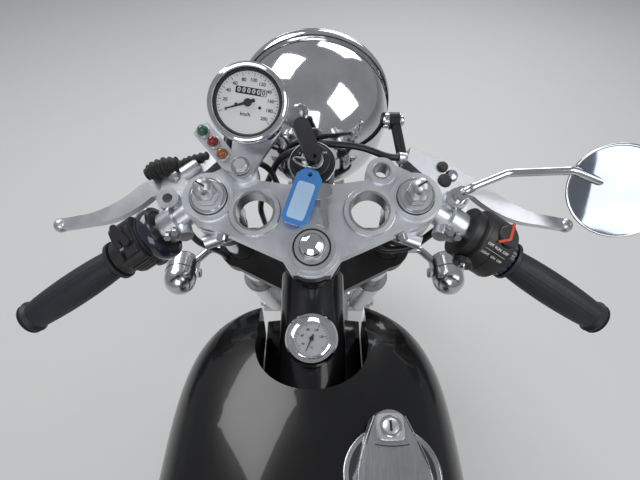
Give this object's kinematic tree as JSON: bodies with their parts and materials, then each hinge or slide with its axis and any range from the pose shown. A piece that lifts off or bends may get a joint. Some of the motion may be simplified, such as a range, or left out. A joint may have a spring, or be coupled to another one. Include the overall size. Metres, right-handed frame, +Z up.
{
  "type": "cafe racer motorcycle",
  "caption": "Cafe racer motorcycle with clip-on bars, flat yoke, small speedometer, wire wheels, drum brakes and an air-cooled single, parked on its centre stand.",
  "frame": {"origin": "on the floor midway between the two axles, in the machine's middle plane", "axes": "+Y forward, +X to the rider's right, +Z up"},
  "size_m": [0.6652, 2.0487, 1.0712],
  "materials": {
    "frame_paint": "gloss",
    "tank_paint": "gloss",
    "black_steel": "satin",
    "gauge_chrome": "polished",
    "damper": "polished",
    "engine_alloy": "satin",
    "engine_black": "satin",
    "carburettor_alloy": "cast",
    "exhaust_chrome": "polished",
    "cap_alloy": "brushed",
    "seat_vinyl": "grained",
    "guard_steel": "polished",
    "red_lens": "gloss",
    "signal_chrome": "polished",
    "bright_steel": "satin",
    "chain_steel": "oiled",
    "hub_alloy": "satin",
    "clamp_alloy": "bead blasted",
    "fork_chrome": "polished",
    "slider_alloy": "polished",
    "grip_rubber": "matt",
    "switch_plastic": "satin",
    "lever_alloy": "satin",
    "mirror_chrome": "polished",
    "tag_plastic": "translucent blue",
    "lamp_chrome": "polished",
    "clear_lens": "clear",
    "wheel_chrome": "polished",
    "cable_rubber": "satin",
    "tyre_rubber": "matt"
  },
  "bodies": {
    "chassis": {"frame_backbone": "frame_paint", "frame_cradle": "frame_paint", "frame_rear": "frame_paint", "oil_thermometer": "gauge_chrome", "oil_lines": "cable_rubber", "swingarm": "frame_paint", "rear_dampers": "damper", "crankcase": "engine_alloy", "cylinder": "engine_black", "rocker_cover": "engine_alloy", "carburettor": "carburettor_alloy", "exhaust_header": "exhaust_chrome", "muffler": "exhaust_chrome", "fuel_tank": "tank_paint", "cap_flange": "cap_alloy", "seat_pad": "seat_vinyl", "tail_cowl": "tank_paint", "side_covers": "tank_paint", "rear_mudguard": "guard_steel", "tail_lamp": "red_lens", "rear_signals": "signal_chrome", "plate_bracket": "black_steel", "footrests": "black_steel", "foot_levers": "bright_steel", "drive_chain": "chain_steel", "rear_brake": "hub_alloy"},
    "steering": {"top_clamp": "clamp_alloy", "lower_clamp": "black_steel", "fork_tubes": "fork_chrome", "fork_sliders": "slider_alloy", "fork_caps": "bright_steel", "clip_ons": "clamp_alloy", "grips": "grip_rubber", "switch_housings": "switch_plastic", "hand_levers": "lever_alloy", "mirror": "mirror_chrome", "speedometer": "gauge_chrome", "speedo_bracket": "clamp_alloy", "ignition_switch": "switch_plastic", "ignition_key": "switch_plastic", "key_tag": "tag_plastic", "control_cables": "cable_rubber", "headlamp": "lamp_chrome", "headlamp_lens": "clear_lens", "headlamp_stays": "black_steel", "front_signals": "signal_chrome", "front_mudguard": "guard_steel", "front_brake": "hub_alloy"},
    "front_wheel": {"front_wheel": "wheel_chrome", "front_tyre": "tyre_rubber"},
    "rear_wheel": {"rear_wheel": "wheel_chrome", "rear_tyre": "tyre_rubber"},
    "fuel_cap": {"fuel_cap": "cap_alloy"},
    "centre_stand": {"centre_stand": "black_steel"},
    "side_stand": {"side_stand": "black_steel"}
  },
  "joints": [
    {"name": "steering_head", "type": "hinge", "parent": "chassis", "child": "steering", "pos_m": [0, 0.37158, 0.84651], "axis": [0, -0.4648, 0.8854], "range_deg": [-35, 35]},
    {"name": "front_wheel_axle", "type": "hinge", "parent": "steering", "child": "front_wheel", "pos_m": [0, 0.705, 0.316], "axis": [-1, 0, 0], "continuous": true},
    {"name": "rear_wheel_axle", "type": "hinge", "parent": "chassis", "child": "rear_wheel", "pos_m": [0, -0.705, 0.344], "axis": [-1, 0, 0], "continuous": true},
    {"name": "centre_stand_pivot", "type": "hinge", "parent": "chassis", "child": "centre_stand", "pos_m": [0, -0.222, 0.24], "axis": [-1, 0, 0], "range_deg": [0, 75]},
    {"name": "side_stand_pivot", "type": "hinge", "parent": "chassis", "child": "side_stand", "pos_m": [-0.13179, 0.04317, 0.23125], "axis": [0.8523, -0.085, -0.5162], "range_deg": [0, 93]},
    {"name": "fuel_cap_hinge", "type": "hinge", "parent": "chassis", "child": "fuel_cap", "pos_m": [0.06, 0.098, 0.89205], "axis": [1, 0, 0], "range_deg": [0, 80]}
  ]
}
